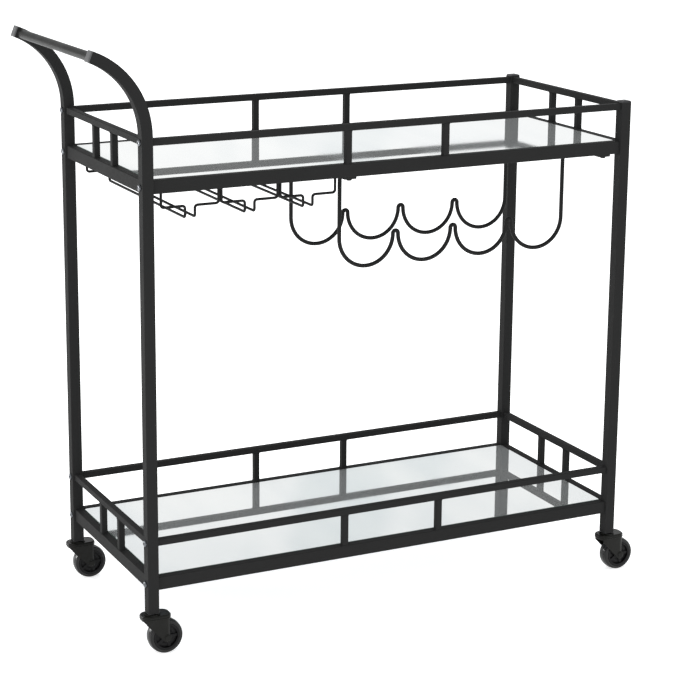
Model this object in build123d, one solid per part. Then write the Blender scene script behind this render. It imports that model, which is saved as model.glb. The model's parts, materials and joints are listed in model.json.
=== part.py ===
from build123d import *
import os
from math import cos, radians, sin

# Two-shelf bar cart on swivel casters, in millimetres.
# Working axes: +X from the push handle end to the plain end, +Y from front to back, +Z up,
# measured from the outer corner of the front left leg at floor level.
# Every node is moved at the end so that the origin is the middle of the footprint on the floor.

# Overall sizes
cart_length = 760.0
cart_depth = 322.0
lower_shelf_height = 112.0
upper_shelf_height = 665.0
guard_rise = 55.2

# Steel tube sections
leg_size = 16.0
tube_wall = 1.2
tube_corner = 1.2
shelf_rail_width = 12.0
shelf_rail_height = 18.5
guard_size = 9.5
upright_size = 9.0
rail_inset = 3.4
long_upright_offset = 76.2
end_upright_offset = 35.6

# Push handle
handle_bend_radius = 116.0
handle_bend_angle = 68.0
handle_bend_start = 723.0
handle_straight = 3.0
push_bar_diameter = 13.0
push_bar_setback = 8.0
plug_flange = 2.0
plug_clearance = 0.1

# Plain legs
leg_bottom = 62.0
plain_leg_top = 721.5
cap_dome = 3.0
cap_depth = 3.0
cap_rounding = 1.8

# Mirror panels
mirror_thickness = 4.0
mirror_drop = 0.4
mirror_gap = 1.2
mirror_leg_gap = 0.6
rest_length = 30.0
rest_width = 9.0
rest_thickness = 2.0

# Bolts that join the rails to the legs
bolt_diameter = 5.0
bolt_head_diameter = 9.0
bolt_head_height = 2.8
head_rounding = 0.6  # share of a pan head's height that its rounded rim takes
insert_length = 14.0
thread_clearance = 0.05

# Stemware rack of bent wire
stem_wire = 3.8
stem_channels = 3
stem_start = 30.2
stem_pitch = 87.0
stem_slot = 14.2
stem_run_drop = 21.8
stem_lip_drop = 37.4
stem_bend = 4.0
stem_post_height = 9.5
stem_pair_gap = 0.3

# Wine rack of bent wire
wine_wire = 6.0
wine_left = 328.5
wine_right = 698.2
wine_cradles = 4
wine_spacing = 159.5
wine_centre_drop = 103.7
wine_cradle_radius = 43.1
wine_bar_width = 18.0
wine_bar_thickness = 3.0
wine_bar_outset = 22.0
wine_bar_end = 1.0
wine_top_bend = 8.0
screw_diameter = 4.0
screw_head_diameter = 8.0
screw_head_height = 2.4
screw_length = 8.0
screw_clearance = 0.1

# Casters
wheel_diameter = 50.0
wheel_width = 20.0
tread_width = 18.0
tread_crown = 40.0
hub_radius = 19.0
hub_rim = 3.0
hub_web = 11.0
hub_boss_radius = 6.5
spoke_count = 5
spoke_width = 4.0
spoke_depth = 14.4
caster_trail = 18.0
axle_diameter = 6.0
axle_head_diameter = 8.5
axle_head = 1.6
fork_top = 60.0
fork_crown = 5.0
fork_front = 16.4
fork_back = 25.2
fork_width = 26.0
fork_cheek = 2.0
fork_corner = 10.0
fork_edge_round = 1.6
fork_boss_radius = 6.5
fork_skirt = 8.0
race_radius = 11.5
race_height = 1.0
stem_diameter = 8.0
stem_height = 26.0
stem_head_diameter = 14.0
stem_head_height = 1.6
stem_head_gap = 0.4
socket_depth = 30.0
socket_flange = 0.7
running_clearance = 0.05
seat_clearance = 0.02


def tube_section(width: float, height: float) -> Sketch:
    """Return the hollow section of a rectangular tube with rounded corners."""
    inside = RectangleRounded(width - 2 * tube_wall, height - 2 * tube_wall, tube_corner / 2)
    return RectangleRounded(width, height, tube_corner) - inside


def rail_along_x(section: Sketch, start: float, end: float, y: float, z: float) -> Part:
    """Extrude a section from start to end along X, with its middle at y and z."""
    plane = Plane(origin=(start, y, z), x_dir=(0, 1, 0), z_dir=(1, 0, 0))
    return extrude(plane * section, amount=end - start)


def rail_along_y(section: Sketch, start: float, end: float, x: float, z: float) -> Part:
    """Extrude a section from start to end along Y, with its middle at x and z."""
    plane = Plane(origin=(x, start, z), x_dir=(1, 0, 0), z_dir=(0, 1, 0))
    return extrude(plane * section, amount=end - start)


def rail_along_z(section: Sketch, start: float, end: float, x: float, y: float) -> Part:
    """Extrude a section from start to end along Z, with its middle at x and y."""
    return extrude(Plane(origin=(x, y, start)) * section, amount=end - start)


def block(low: tuple, high: tuple) -> Part:
    """Return the box between two corners."""
    sizes = [high[i] - low[i] for i in range(3)]
    middle = [(high[i] + low[i]) / 2 for i in range(3)]
    return Pos(*middle) * Box(*sizes)


def rod(start: tuple, end: tuple, diameter: float) -> Part:
    """Return a round rod between two points."""
    line = Vector(*end) - Vector(*start)
    plane = Plane(origin=start, z_dir=line)
    return extrude(plane * Circle(diameter / 2), amount=line.length)


def pan_screw(seat: tuple, direction: tuple, shank: float, head: float, rise: float, length: float) -> Part:
    """Return a pan head screw whose head sits on seat and whose shank runs along direction."""
    plane = Plane(origin=seat, z_dir=direction)
    top = extrude(plane * Circle(head / 2), amount=-rise)
    rim = top.edges().filter_by(GeomType.CIRCLE).sort_by(lambda e: (e.center() - Vector(*seat)).length)[-1]
    top = fillet([rim], rise * head_rounding)
    return top + extrude(plane * Circle(shank / 2), amount=length)


# Places worked out from the driving sizes
leg_middle = leg_size / 2
leg_rows = (leg_middle, cart_depth - leg_middle)
left_leg_x = leg_middle
right_leg_x = cart_length - leg_middle
shelf_line = rail_inset + shelf_rail_width / 2
guard_line = rail_inset + guard_size / 2
shelf_inner = rail_inset + shelf_rail_width
tray_heights = {"lower": lower_shelf_height, "upper": upper_shelf_height}
upper_rail_bottom = upper_shelf_height - shelf_rail_height
bend_turn = radians(handle_bend_angle)
bend_centre_x = left_leg_x - handle_bend_radius
handle_end_x = bend_centre_x + handle_bend_radius * cos(bend_turn) - handle_straight * sin(bend_turn)
handle_end_z = handle_bend_start + handle_bend_radius * sin(bend_turn) + handle_straight * cos(bend_turn)
handle_tip_x = handle_end_x - leg_size / 2 * cos(bend_turn) - plug_flange * sin(bend_turn)
wheel_tip_x = right_leg_x + caster_trail + wheel_diameter / 2
footprint_middle = ((handle_tip_x + wheel_tip_x) / 2, cart_depth / 2)
wine_bars = {"left": wine_left - wine_bar_outset, "right": wine_right + wine_bar_outset}


def shelf_middle(shelf_height: float) -> float:
    """Return the height of the middle of a tray's shelf rails."""
    return shelf_height - shelf_rail_height / 2


def guard_middle(shelf_height: float) -> float:
    """Return the height of the middle of a tray's guard rails."""
    return shelf_height + guard_rise - guard_size / 2


def bolt_places(shelf_height: float) -> list:
    """Return (y, z) of the bolts at one end of a tray: shelf and guard, front and back."""
    places = []
    for line, z in ((shelf_line, shelf_middle(shelf_height)), (guard_line, guard_middle(shelf_height))):
        places.append((line, z))
        places.append((cart_depth - line, z))
    return places


def drill_leg(leg: Part, x: float, y: float) -> Part:
    """Cut the bolt holes of both trays through a leg."""
    reach = leg_size
    for shelf_height in tray_heights.values():
        for bolt_y, bolt_z in bolt_places(shelf_height):
            if abs(bolt_y - y) < leg_size:
                hole = bolt_diameter + 2 * thread_clearance
                leg -= rod((x - reach, bolt_y, bolt_z), (x + reach, bolt_y, bolt_z), hole)
    return leg


def handle_leg(y: float) -> Part:
    """Return a left leg: a straight tube that bends outward into the push handle."""
    section = tube_section(leg_size, leg_size)
    straight = rail_along_z(section, leg_bottom, handle_bend_start, left_leg_x, y)
    start_face = Plane(origin=(left_leg_x, y, handle_bend_start)) * section
    bend_axis = Axis((bend_centre_x, y, handle_bend_start), (0, -1, 0))
    bend = revolve(start_face, bend_axis, handle_bend_angle)
    end = extrude(handle_end_plane(y, -handle_straight) * section, amount=handle_straight)
    return drill_leg(straight + bend + end, left_leg_x, y)


def handle_end_plane(y: float, offset: float) -> Plane:
    """Return the plane across the handle tube's end, moved along the tube by offset."""
    tangent = (-sin(bend_turn), 0, cos(bend_turn))
    origin = (handle_end_x + offset * tangent[0], y, handle_end_z + offset * tangent[2])
    return Plane(origin=origin, x_dir=(cos(bend_turn), 0, sin(bend_turn)), z_dir=tangent)


def plain_leg(y: float) -> Part:
    """Return a right leg, a straight tube."""
    section = tube_section(leg_size, leg_size)
    return drill_leg(rail_along_z(section, leg_bottom, plain_leg_top, right_leg_x, y), right_leg_x, y)


def plug_core() -> Sketch:
    """Return the section of a plug's core, which fills the inside of a leg tube."""
    width = leg_size - 2 * tube_wall - 2 * plug_clearance
    return RectangleRounded(width, width, tube_corner)


def handle_plug(y: float) -> Part:
    """Return the plastic plug that closes a handle tube's end."""
    outline = RectangleRounded(leg_size, leg_size, tube_corner)
    flange = extrude(handle_end_plane(y, 0) * outline, amount=plug_flange)
    core = extrude(handle_end_plane(y, -handle_straight) * plug_core(), amount=handle_straight)
    return flange + core


def leg_cap(y: float) -> Part:
    """Return the domed plastic cap of a right leg."""
    plane = Plane(origin=(right_leg_x, y, plain_leg_top))
    dome = extrude(plane * RectangleRounded(leg_size, leg_size, tube_corner), amount=cap_dome)
    dome = fillet(dome.faces().sort_by(Axis.Z)[-1].edges(), cap_rounding)
    return dome + extrude(plane * plug_core(), amount=-cap_depth)


def stem_socket(x: float, y: float) -> Part:
    """Return the plastic socket in a leg's foot that holds a caster's stem."""
    plane = Plane(origin=(x, y, leg_bottom))
    flange = extrude(plane * RectangleRounded(leg_size, leg_size, tube_corner), amount=-socket_flange)
    socket = flange + extrude(plane * plug_core(), amount=socket_depth)
    bore = stem_diameter + 2 * running_clearance
    bore_top = leg_bottom + stem_height + plug_clearance
    return socket - rod((x, y, leg_bottom - leg_size), (x, y, bore_top), bore)


def push_bar() -> Part:
    """Return the round bar between the two handle tubes."""
    middle = handle_end_plane(0, -push_bar_setback).origin
    start = (middle.X, leg_size, middle.Z)
    return rod(start, (middle.X, cart_depth - leg_size, middle.Z), push_bar_diameter)


def wine_screw_holes(rail: Part, y: float) -> Part:
    """Cut the holes of the wine rack's screws in the bottom of a long shelf rail."""
    hole = screw_diameter + screw_clearance
    for x in wine_bars.values():
        rail -= rod((x, y, upper_rail_bottom - tube_wall), (x, y, upper_rail_bottom + 2 * tube_wall), hole)
    return rail


def tray_nodes(name: str, shelf_height: float) -> dict:
    """Return the nodes of one tray: rails, uprights, inserts, bolts, mirror and its rests."""
    shelf = tube_section(shelf_rail_width, shelf_rail_height)
    guard = tube_section(guard_size, guard_size)
    low = shelf_middle(shelf_height)
    high = guard_middle(shelf_height)
    inner_x = (leg_size, cart_length - leg_size)
    inner_y = (leg_size, cart_depth - leg_size)
    nodes = {}
    for side, y in (("front", shelf_line), ("back", cart_depth - shelf_line)):
        rail = rail_along_x(shelf, *inner_x, y, low)
        nodes[f"{name}_{side}_shelf_rail"] = [wine_screw_holes(rail, y) if name == "upper" else rail]
    for side, y in (("front", guard_line), ("back", cart_depth - guard_line)):
        nodes[f"{name}_{side}_guard_rail"] = [rail_along_x(guard, *inner_x, y, high)]
    for side, x in (("left", shelf_line), ("right", cart_length - shelf_line)):
        nodes[f"{name}_{side}_shelf_rail"] = [rail_along_y(shelf, *inner_y, x, low)]
    for side, x in (("left", guard_line), ("right", cart_length - guard_line)):
        nodes[f"{name}_{side}_guard_rail"] = [rail_along_y(guard, *inner_y, x, high)]
    nodes[f"{name}_guard_uprights"] = uprights(shelf_height)
    nodes[f"{name}_rail_inserts"] = rail_inserts(shelf_height)
    nodes[f"{name}_frame_bolts"] = frame_bolts(shelf_height)
    nodes[f"{name}_mirror"] = [mirror(shelf_height)]
    nodes[f"{name}_mirror_rests"] = mirror_rests(shelf_height)
    return nodes


def uprights(shelf_height: float) -> list:
    """Return the short posts between a tray's shelf rails and guard rails."""
    section = tube_section(upright_size, upright_size)
    top = shelf_height + guard_rise - guard_size
    places = []
    for offset in (-long_upright_offset, long_upright_offset):
        for y in (guard_line, cart_depth - guard_line):
            places.append((cart_length / 2 + offset, y))
    for offset in (-end_upright_offset, end_upright_offset):
        for x in (guard_line, cart_length - guard_line):
            places.append((x, cart_depth / 2 + offset))
    return [rail_along_z(section, shelf_height, top, x, y) for x, y in places]


def rail_inserts(shelf_height: float) -> list:
    """Return the threaded blocks inside the ends of a tray's long rails."""
    shrink = 2 * tube_wall + 2 * plug_clearance
    shelf = RectangleRounded(shelf_rail_width - shrink, shelf_rail_height - shrink, tube_corner)
    guard = RectangleRounded(guard_size - shrink, guard_size - shrink, tube_corner)
    hole = bolt_diameter + 2 * thread_clearance
    inserts = []
    for y, z in bolt_places(shelf_height):
        section = shelf if z < shelf_height else guard
        for start in (leg_size, cart_length - leg_size - insert_length):
            insert = rail_along_x(section, start, start + insert_length, y, z)
            inserts.append(insert - rod((start - 1, y, z), (start + insert_length + 1, y, z), hole))
    return inserts


def frame_bolts(shelf_height: float) -> list:
    """Return the bolts through the legs into a tray's long rails."""
    length = leg_size + insert_length
    bolts = []
    for y, z in bolt_places(shelf_height):
        for x, direction in ((0, (1, 0, 0)), (cart_length, (-1, 0, 0))):
            head = (bolt_head_diameter, bolt_head_height)
            bolts.append(pan_screw((x, y, z), direction, bolt_diameter, *head, length))
    return bolts


def mirror(shelf_height: float) -> Part:
    """Return a tray's mirrored glass panel, just below the tops of the rails."""
    edge = max(shelf_inner + mirror_gap, leg_size + mirror_leg_gap)
    top = shelf_height - mirror_drop
    return block((edge, edge, top - mirror_thickness), (cart_length - edge, cart_depth - edge, top))


def mirror_rests(shelf_height: float) -> list:
    """Return the steel tabs on the rails that carry the mirror's edges."""
    top = shelf_height - mirror_drop - mirror_thickness
    low = top - rest_thickness
    half = rest_length / 2
    rests = []
    for share in (1 / 6, 1 / 2, 5 / 6):
        x = cart_length * share
        for start in (shelf_inner, cart_depth - shelf_inner - rest_width):
            rests.append(block((x - half, start, low), (x + half, start + rest_width, top)))
    for start in (shelf_inner, cart_length - shelf_inner - rest_width):
        y = cart_depth / 2
        rests.append(block((start, y - half, low), (start + rest_width, y + half, top)))
    return rests


def stem_wire_piece(post_x: float, lip_x: float) -> Part:
    """Return one bent wire of a stemware channel, from its front post to its back post."""
    front = shelf_inner + stem_wire / 2
    back = cart_depth - front
    top = upper_rail_bottom + stem_post_height
    run = upper_rail_bottom - stem_run_drop
    lip = upper_rail_bottom - stem_lip_drop
    corners = [(post_x, front, top), (post_x, front, run), (lip_x, front, run), (lip_x, front, lip)]
    corners += [(x, back, z) for x, _, z in reversed(corners)]
    path = FilletPolyline(*corners, radius=stem_bend)
    return sweep(Plane(origin=corners[0], z_dir=(0, 0, -1)) * Circle(stem_wire / 2), path=path)


def stem_channel(number: int) -> list:
    """Return the two mirrored wires of one stemware channel."""
    start = stem_start + stem_pitch * number
    inset = (stem_wire + stem_pair_gap) / 2
    middle = start + stem_pitch / 2
    left = stem_wire_piece(start + inset, middle - stem_slot / 2)
    right = stem_wire_piece(start + stem_pitch - inset, middle + stem_slot / 2)
    return [left, right]


def wine_wave(y: float) -> Part:
    """Return a wine rack wave: round cradles joined by narrow crests, hung from its two ends."""
    crest = ((wine_right - wine_left) / 2 - wine_cradles * wine_cradle_radius) / (wine_cradles - 1)
    hang = upper_rail_bottom - wine_bar_thickness - wine_wire / 2
    level = upper_rail_bottom - wine_centre_drop
    start = (wine_bars["left"], y, hang)
    path = Line(start, (wine_left - wine_top_bend, y, hang))
    path += arc_on(y, wine_left - wine_top_bend, hang - wine_top_bend, wine_top_bend, 90, 0)
    path += Line((wine_left, y, hang - wine_top_bend), (wine_left, y, level))
    x = wine_left
    for number in range(wine_cradles):
        path += arc_on(y, x + wine_cradle_radius, level, wine_cradle_radius, 180, 360)
        x += 2 * wine_cradle_radius
        if number < wine_cradles - 1:
            path += arc_on(y, x + crest, level, crest, 180, 0)
            x += 2 * crest
    path += Line((wine_right, y, level), (wine_right, y, hang - wine_top_bend))
    path += arc_on(y, wine_right + wine_top_bend, hang - wine_top_bend, wine_top_bend, 180, 90)
    path += Line((wine_right + wine_top_bend, y, hang), (wine_bars["right"], y, hang))
    return sweep(Plane(origin=start, z_dir=(1, 0, 0)) * Circle(wine_wire / 2), path=path)


def arc_on(y: float, x: float, z: float, radius: float, start: float, end: float) -> Edge:
    """Return an arc about (x, z) in the upright plane at y, from one angle to another."""
    points = []
    for angle in (start, (start + end) / 2, end):
        points.append((x + radius * cos(radians(angle)), y, z + radius * sin(radians(angle))))
    return ThreePointArc(*points)


def wine_bar(x: float) -> Part:
    """Return the flat bar under the shelf rails that carries the waves' ends."""
    low = (x - wine_bar_width / 2, rail_inset + wine_bar_end, upper_rail_bottom - wine_bar_thickness)
    high = (x + wine_bar_width / 2, cart_depth - rail_inset - wine_bar_end, upper_rail_bottom)
    bar = block(low, high)
    for y in (shelf_line, cart_depth - shelf_line):
        hole = screw_diameter + screw_clearance
        bar -= rod((x, y, low[2] - 1), (x, y, high[2] + 1), hole)
    return bar


def wine_screws() -> list:
    """Return the screws that hold the wine rack's bars up to the long shelf rails."""
    seat = upper_rail_bottom - wine_bar_thickness
    screws = []
    for x in wine_bars.values():
        for y in (shelf_line, cart_depth - shelf_line):
            head = (screw_head_diameter, screw_head_height)
            screws.append(pan_screw((x, y, seat), (0, 0, 1), screw_diameter, *head, screw_length))
    return screws


def caster_stem(x: float, y: float) -> Part:
    """Return the pin on which a caster swivels, with its riveted head under the fork's crown."""
    head_top = fork_top - fork_crown - stem_head_gap
    head = rod((x, y, head_top - stem_head_height), (x, y, head_top), stem_head_diameter)
    return head + rod((x, y, head_top), (x, y, leg_bottom + stem_height), stem_diameter)


def caster_fork(x: float, y: float) -> Part:
    """Return the swivelling fork: a skirted crown with a race ring, and two cheeks to the axle."""
    axle_x = x + caster_trail
    axle_z = wheel_diameter / 2
    middle = x + (fork_back - fork_front) / 2
    outline = RectangleRounded(fork_front + fork_back, fork_width, fork_corner)
    body = extrude(Plane(origin=(middle, y, 0)) * outline, amount=fork_top - race_height)
    body = fillet(body.faces().sort_by(Axis.Z)[-1].edges(), fork_edge_round)
    side = Polyline(
        (x - fork_front, fork_top),
        (x - fork_front, fork_top - fork_skirt),
        (axle_x - fork_boss_radius * cos(radians(45)), axle_z - fork_boss_radius * sin(radians(45))),
        (axle_x + fork_boss_radius, axle_z),
        (x + fork_back, fork_top - fork_skirt),
        (x + fork_back, fork_top),
        close=True,
    )
    upright_plane = Plane(origin=(0, y, 0), x_dir=(1, 0, 0), z_dir=(0, -1, 0))
    profile = make_face(side) + Pos(axle_x, axle_z) * Circle(fork_boss_radius)
    body &= extrude(upright_plane * profile, amount=fork_width, both=True)
    room = RectangleRounded(
        fork_front + fork_back - 2 * fork_cheek, fork_width - 2 * fork_cheek, fork_corner - fork_cheek
    )
    body -= extrude(Plane(origin=(middle, y, 0)) * room, amount=fork_top - fork_crown)
    gap = fork_width / 2 - fork_cheek
    skirt_bottom = fork_top - fork_skirt
    body -= block((x - fork_front - 1, y - gap, 0), (x + fork_back + 1, y + gap, skirt_bottom))
    body += rod((x, y, fork_top - fork_crown), (x, y, fork_top), 2 * race_radius)
    body -= rod((x, y, 0), (x, y, leg_bottom), stem_diameter + 2 * running_clearance)
    hole = axle_diameter + 2 * seat_clearance
    return body - rod((axle_x, y - fork_width, axle_z), (axle_x, y + fork_width, axle_z), hole)


def caster_axle(x: float, y: float) -> Part:
    """Return a caster's axle, riveted over both cheeks."""
    axle_x = x + caster_trail
    axle_z = wheel_diameter / 2
    half = fork_width / 2
    axle = rod((axle_x, y - half, axle_z), (axle_x, y + half, axle_z), axle_diameter)
    for side in (-1, 1):
        start = (axle_x, y + side * half, axle_z)
        head = rod(start, (axle_x, y + side * (half + axle_head), axle_z), axle_head_diameter)
        rim = head.edges().filter_by(GeomType.CIRCLE).sort_by(lambda e: abs(e.center().Y - y))[-1]
        axle += fillet([rim], axle_head / 2)
    return axle


def caster_hub(x: float, y: float) -> Part:
    """Return a wheel's hub: rim, web, spokes and boss, with the axle's bore."""
    plane = Plane(origin=(x + caster_trail, y, wheel_diameter / 2), x_dir=(1, 0, 0), z_dir=(0, 1, 0))
    bore = Circle(axle_diameter / 2 + running_clearance)
    ring = Circle(hub_radius) - Circle(hub_radius - hub_rim)
    rim = extrude(plane * ring, amount=tread_width / 2, both=True)
    web = extrude(plane * (Circle(hub_radius - hub_rim / 2) - bore), amount=hub_web / 2, both=True)
    boss = extrude(plane * (Circle(hub_boss_radius) - bore), amount=wheel_width / 2, both=True)
    hub = rim + web + boss
    reach = hub_radius - hub_rim / 2 - hub_boss_radius + 1
    for number in range(spoke_count):
        turn = Rot(0, 0, 360 / spoke_count * number)
        spoke = turn * Pos(hub_boss_radius - 1 + reach / 2, 0) * Rectangle(reach, spoke_width)
        hub += extrude(plane * spoke, amount=spoke_depth / 2, both=True)
    return hub


def caster_tyre(x: float, y: float) -> Part:
    """Return a wheel's tyre, a ring with a crowned tread."""
    middle = (x + caster_trail, y, wheel_diameter / 2)
    half = tread_width / 2
    edge = wheel_diameter / 2 - tread_crown + (tread_crown ** 2 - half ** 2) ** 0.5
    inner = hub_radius + seat_clearance
    outline = Line((inner, -half), (edge, -half))
    outline += ThreePointArc((edge, -half), (wheel_diameter / 2, 0), (edge, half))
    outline += Line((edge, half), (inner, half))
    outline += Line((inner, half), (inner, -half))
    plane = Plane(origin=middle, x_dir=(1, 0, 0), z_dir=(0, 0, 1))
    return revolve(plane * make_face(outline), Axis(middle, (0, 1, 0)), 360)


def build_nodes() -> dict:
    """Return every node of the cart as a list of solids under its name."""
    nodes = {}
    casters = {}
    for side, y in zip(("front", "back"), leg_rows):
        nodes[f"leg_{side}_left"] = [handle_leg(y)]
        nodes[f"leg_{side}_right"] = [plain_leg(y)]
        casters[f"{side}_left"] = (left_leg_x, y)
        casters[f"{side}_right"] = (right_leg_x, y)
    nodes["push_bar"] = [push_bar()]
    nodes["handle_end_plugs"] = [handle_plug(y) for y in leg_rows]
    nodes["leg_top_caps"] = [leg_cap(y) for y in leg_rows]
    nodes["leg_stem_sockets"] = [stem_socket(*place) for place in casters.values()]
    for name, shelf_height in tray_heights.items():
        nodes.update(tray_nodes(name, shelf_height))
    for number in range(stem_channels):
        nodes[f"stemware_channel_{number + 1}"] = stem_channel(number)
    for side, offset in (("front", -wine_spacing / 2), ("back", wine_spacing / 2)):
        nodes[f"wine_wave_{side}"] = [wine_wave(cart_depth / 2 + offset)]
    for side, x in wine_bars.items():
        nodes[f"wine_bar_{side}"] = [wine_bar(x)]
    nodes["wine_bar_screws"] = wine_screws()
    nodes["caster_stems"] = [caster_stem(*place) for place in casters.values()]
    for name, place in casters.items():
        nodes[f"caster_fork_{name}"] = [caster_fork(*place)]
        nodes[f"caster_axle_{name}"] = [caster_axle(*place)]
        nodes[f"caster_hub_{name}"] = [caster_hub(*place)]
        nodes[f"caster_tyre_{name}"] = [caster_tyre(*place)]
    return nodes


def main() -> None:
    """Write one STEP file for each node, moved to the footprint's middle."""
    os.makedirs("parts", exist_ok=True)
    to_origin = Pos(-footprint_middle[0], -footprint_middle[1], 0)
    for name, shapes in build_nodes().items():
        solids = [solid for shape in shapes for solid in shape.solids()]
        moved = [to_origin * solid for solid in solids]
        node = moved[0] if len(moved) == 1 else Compound(children=moved)
        export_step(node, f"parts/{name}.step")
        print(name, len(moved))
    print("footprint middle", footprint_middle)


main()
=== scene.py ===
"""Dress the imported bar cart: coated tube frame, mirrored shelves, wire racks and casters."""

import json
import logging
import math
from dataclasses import dataclass
from enum import Enum
from typing import Iterable, Sequence

import bmesh
import bpy
from mathutils import Matrix, Vector

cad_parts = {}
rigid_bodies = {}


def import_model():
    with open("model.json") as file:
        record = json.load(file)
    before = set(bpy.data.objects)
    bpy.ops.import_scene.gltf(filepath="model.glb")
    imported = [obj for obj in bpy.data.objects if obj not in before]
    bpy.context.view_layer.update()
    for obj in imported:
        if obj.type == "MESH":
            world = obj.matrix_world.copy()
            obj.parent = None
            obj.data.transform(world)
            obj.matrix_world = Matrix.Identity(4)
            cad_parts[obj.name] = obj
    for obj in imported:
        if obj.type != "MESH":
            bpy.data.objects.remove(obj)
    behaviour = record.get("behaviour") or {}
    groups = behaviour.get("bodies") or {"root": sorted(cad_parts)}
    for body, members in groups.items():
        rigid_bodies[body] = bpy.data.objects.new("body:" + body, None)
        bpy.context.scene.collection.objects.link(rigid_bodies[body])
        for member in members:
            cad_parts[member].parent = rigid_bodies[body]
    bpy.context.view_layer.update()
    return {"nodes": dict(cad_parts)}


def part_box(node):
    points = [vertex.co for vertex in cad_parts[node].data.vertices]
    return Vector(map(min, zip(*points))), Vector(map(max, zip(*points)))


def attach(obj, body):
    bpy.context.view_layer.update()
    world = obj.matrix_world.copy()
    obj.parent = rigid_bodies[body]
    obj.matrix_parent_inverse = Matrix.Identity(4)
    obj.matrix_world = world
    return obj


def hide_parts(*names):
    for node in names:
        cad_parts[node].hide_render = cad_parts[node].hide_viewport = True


for leftover in list(bpy.data.objects):
    bpy.data.objects.remove(leftover)
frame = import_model()

LOG = logging.getLogger("bar_cart")
MM = 0.001
ROUND_STEPS = 48
SENSOR_WIDTH = 36.0
SHARP_ANGLE = math.radians(35)
BEVEL_ANGLE = math.radians(40)
BEVEL_SEGMENTS = 2
TRAYS = ("lower", "upper")
ROWS = ("front", "back")
ENDS = ("left", "right")
CORNERS = ("front_left", "front_right", "back_left", "back_right")
# Sockets of a colour mix, which share their names with the ones for plain values.
MIX_A, MIX_B, MIX_RESULT = 6, 7, 2


class Slot(Enum):
    """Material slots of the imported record."""

    STEEL = "black_steel"
    WIRE = "black_wire"
    MIRROR = "mirror_glass"
    PLASTIC = "black_plastic"
    ZINC = "bright_zinc"
    TYRE = "black_tyre"
    CASTER = "caster_steel"


class Side(Enum):
    """Ends of the cart along X, with the outward direction of each."""

    HANDLE = -1
    PLAIN = 1


def linear_colour(hex_code: str) -> tuple[float, float, float, float]:
    """Turn an sRGB hex colour into linear RGBA.

    Args:
        hex_code: Six hex digits, such as "1e1e1f".

    Returns:
        The linear colour with full alpha.
    """
    values = [int(hex_code[i:i + 2], 16) / 255 for i in (0, 2, 4)]
    toe, slope, lift, gamma = 0.04045, 12.92, 0.055, 2.4
    turned = [v / slope if v <= toe else ((v + lift) / (1 + lift)) ** gamma for v in values]
    return (*turned, 1.0)


def add_node(
    tree: bpy.types.NodeTree, kind: str, inputs: dict | None = None, **settings: object
) -> bpy.types.Node:
    """Add a shader node with its settings and input values or links.

    Args:
        tree: The node tree that gets the node.
        kind: The node's type name.
        inputs: Input socket names or numbers, with a value or an output socket for each.
        settings: Attributes of the node.

    Returns:
        The new node.
    """
    node = tree.nodes.new(kind)
    for name, value in settings.items():
        setattr(node, name, value)
    for socket, value in (inputs or {}).items():
        target = node.inputs[socket]
        if isinstance(value, bpy.types.NodeSocket):
            tree.links.new(value, target)
        else:
            target.default_value = value
    return node


def per_metre(size_mm: float) -> float:
    """Return a texture scale that repeats about every size_mm millimetres."""
    return 1.0 / (size_mm * MM)


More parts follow.
